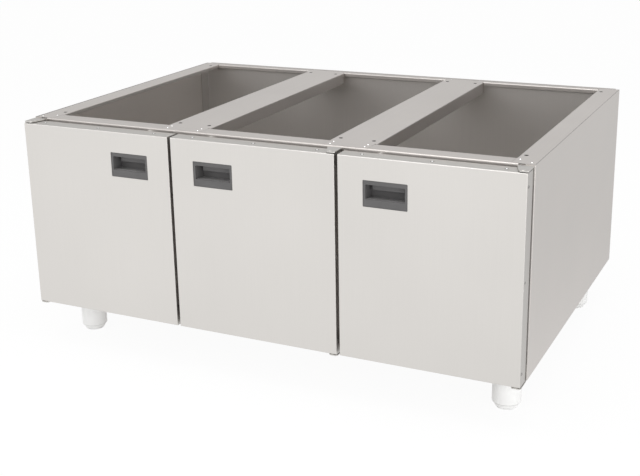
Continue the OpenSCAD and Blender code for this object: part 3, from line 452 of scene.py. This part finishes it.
def add_joint_shade_rings():
    """Pale grey ring in the chamfer at the lower edge of each foot's socket, which paints the faint shade
    line at the joint.
    """
    piece = Piece()
    for end in ("front", "rear"):
        for side in ("left", "right"):
            low, high = corners("foot_socket_%s_%s" % (end, side))
            centre = Vector(((low.x + high.x) / 2, (low.y + high.y) / 2, low.z))
            # Fills the chamfer under the socket's wall, 1.5 mm wide
            outside = (high.x - low.x) / 2 - 0.4 * MM
            piece.turned(centre, [(outside - 2.5 * MM, -0.1 * MM), (outside - 0.4 * MM, -0.1 * MM),
                                  (outside, 0.3 * MM), (outside, 1.2 * MM), (outside - 2.5 * MM, 1.2 * MM)],
                         sides=64)
    piece.make("joint_shade_rings", "carcass", JOINT_SHADE_RUBBER)


def set_top_rivets():
    """Flush rivets, each with the bright dish that its punch leaves."""
    piece = Piece()
    for low, high in solids_of("top_rivets"):
        centre = Vector(((low.x + high.x) / 2, (low.y + high.y) / 2, high.z))
        radius = (high.x - low.x) / 2
        depth = high.z - low.z
        rim, bottom = 0.98 * radius, 0.25 * radius
        # The dish is 1.6 mm deep
        piece.turned(centre, [(rim, -0.02 * MM), (bottom, -1.6 * MM), (0.2 * bottom, -1.6 * MM),
                              (0.2 * bottom, -depth), (rim, -depth)])
    rivets = piece.make("set_rivets", "carcass", RIVET_STEEL)
    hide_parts("top_rivets")


def add_rivet_shade_rims():
    """Thin grey rim round each rivet on the doors' top folds, drawn as rubber, which reaches in under its
    head and paints the shade round the head.

    It is 0.28 mm thick and overlaps the lowest 0.2 mm of the head.
    """
    for i in (1, 2, 3):
        top = corners("door_skin_%d" % i)[1].z
        piece = Piece()
        for low, high in solids_of("door_rivets_%d" % i):
            if high.z > top:
                radius = (high.x - low.x) / 2
                piece.turned(Vector(((low.x + high.x) / 2, (low.y + high.y) / 2, top)),
                             [(0.6 * radius, 0.3 * MM), (1.2 * radius, 0.3 * MM), (1.35 * radius, 0.02 * MM),
                              (0.6 * radius, 0.02 * MM)])
        piece.make("rivet_washers_%d" % i, "door_%d" % i, RIVET_SHADE_RUBBER)


def add_side_rivets():
    """A blind rivet half-way up each door's hinge side, which holds the liner in the fold."""
    for i in (1, 2, 3):
        skin_low, skin_high = corners("door_skin_%d" % i)
        screws = solids_of("block_screws_%d" % i)
        middle = sum((low + high for low, high in screws), Vector()) / (2 * len(screws))
        side = 1 if middle.x > (skin_low.x + skin_high.x) / 2 else -1
        face = skin_high.x if side > 0 else skin_low.x
        piece = Piece()
        # Head of a 3.2 mm rivet, with the hole that its mandrel leaves
        piece.turned(Vector((face, middle.y, middle.z)),
                     [(0.6 * MM, 0.02 * MM), (3.2 * MM, 0.02 * MM), (3.0 * MM, 0.5 * MM),
                      (2.2 * MM, 0.9 * MM), (1.3 * MM, 1.05 * MM), (0.6 * MM, 0.8 * MM)],
                     lean=Matrix.Rotation(side * math.radians(90), 3, "Y"))
        piece.make("side_rivet_%d" % i, "door_%d" % i, SCREW_STEEL)


paint_seam_shadows()
add_weld_nuts()
add_side_rivets()
add_rivet_shade_rims()
add_pivot_washers()
add_joint_shade_rings()
set_top_rivets()


# Studio

# Brightness of the room where it is brightest, in front, and where it is darkest, at the back left
FRONT_GLOW, BACK_GLOW = 0.95, 0.66
# Brightness of the floor in reflections, in front of the cabinet and behind it
NEAR_FLOOR, FAR_FLOOR = 1.0, 0.76
# Direction from front to back in which the room and the floor get darker, turned to the left
ROOM_TURN, FLOOR_TURN = math.radians(50), math.radians(-35)
# Share of pure white that the camera sees in the floor
SEEN_WHITE = 0.94
# Distance from the middle within which the floor's glow changes, and half the floor's width, in metres
GLOW_REACH, FLOOR_REACH = 1.2, 30


def glow(tree, place, reach, near, far, turn):
    """Brightness that goes from near to far along a level line."""
    line = (-math.sin(turn), math.cos(turn), 0)
    along = add(tree, "ShaderNodeVectorMath", {"operation": "DOT_PRODUCT"}, _0=place, _1=line)
    return add(tree, "ShaderNodeMapRange", Value=along.outputs["Value"], From_Min=-reach, From_Max=reach,
               To_Min=near, To_Max=far).outputs["Result"]


def make_floor():
    """White sweep: reflections see its glow, the camera sees white with a faint soft shadow."""
    material, tree, surface = new_material("matte white studio floor")
    surface.inputs["Base Color"].default_value = linear("#f4f4f4")
    surface.inputs["Roughness"].default_value = 1.0
    surface.inputs["Specular IOR Level"].default_value = 0.0
    path = add(tree, "ShaderNodeLightPath")
    place = add(tree, "ShaderNodeNewGeometry").outputs["Position"]
    white = add(tree, "ShaderNodeEmission", Color=(1, 1, 1, 1), Strength=1.0)
    mirrored = add(tree, "ShaderNodeEmission", Color=(1, 1, 1, 1),
                   Strength=glow(tree, place, GLOW_REACH, NEAR_FLOOR, FAR_FLOOR, FLOOR_TURN))
    straight = either(tree, path.outputs["Is Camera Ray"], path.outputs["Is Transmission Ray"])
    seen = add(tree, "ShaderNodeMath", {"operation": "MULTIPLY"}, _0=straight, _1=SEEN_WHITE)
    plain = add(tree, "ShaderNodeMixShader", _0=seen.outputs[0], _1=surface.outputs[0], _2=white.outputs[0])
    both = add(tree, "ShaderNodeMixShader", _0=path.outputs["Is Glossy Ray"], _1=plain.outputs[0],
               _2=mirrored.outputs[0])
    tree.links.new(both.outputs[0], tree.nodes["Material Output"].inputs["Surface"])
    mesh = bpy.data.meshes.new("floor")
    half = FLOOR_REACH
    mesh.from_pydata([(-half, -half, 0), (half, -half, 0), (half, half, 0), (-half, half, 0)], [],
                     [(0, 1, 2, 3)])
    mesh.materials.append(material)
    floor = bpy.data.objects.new("floor", mesh)
    bpy.context.scene.collection.objects.link(floor)


def make_world():
    world = bpy.data.worlds.new("studio")
    bpy.context.scene.world = world
    world.use_nodes = True
    tree = world.node_tree
    backdrop = tree.nodes["Background"]
    backdrop.inputs["Color"].default_value = (1, 1, 1, 1)
    path = add(tree, "ShaderNodeLightPath")
    seen = either(tree, path.outputs["Is Camera Ray"], path.outputs["Is Transmission Ray"])
    direction = add(tree, "ShaderNodeTexCoord").outputs["Generated"]
    around = glow(tree, direction, 1.0, FRONT_GLOW, BACK_GLOW, ROOM_TURN)
    tree.links.new(either(tree, seen, around), backdrop.inputs["Strength"])


def softbox(name, place, aim, size, power):
    light = bpy.data.lights.new(name, "AREA")
    light.shape = "RECTANGLE"
    light.size, light.size_y = size
    light.energy = power
    lamp = bpy.data.objects.new(name, light)
    bpy.context.scene.collection.objects.link(lamp)
    lamp.location = place
    lamp.rotation_euler = (Vector(aim) - Vector(place)).to_track_quat("-Z", "Y").to_euler()


make_floor()
make_world()
softbox("overhead softbox", (0.3, -0.7, 2.8), (0, 0, 0.4), (2.6, 1.8), 30)
softbox("front softbox", (-1.7, -3.2, 2.2), (0, -0.4, 0.2), (4.4, 1.0), 27)
softbox("side softbox", (3.5, -2.5, 0.75), (0, -0.4, 0.1), (3.6, 1.5), 36)
bpy.context.scene.view_settings.view_transform = "Standard"
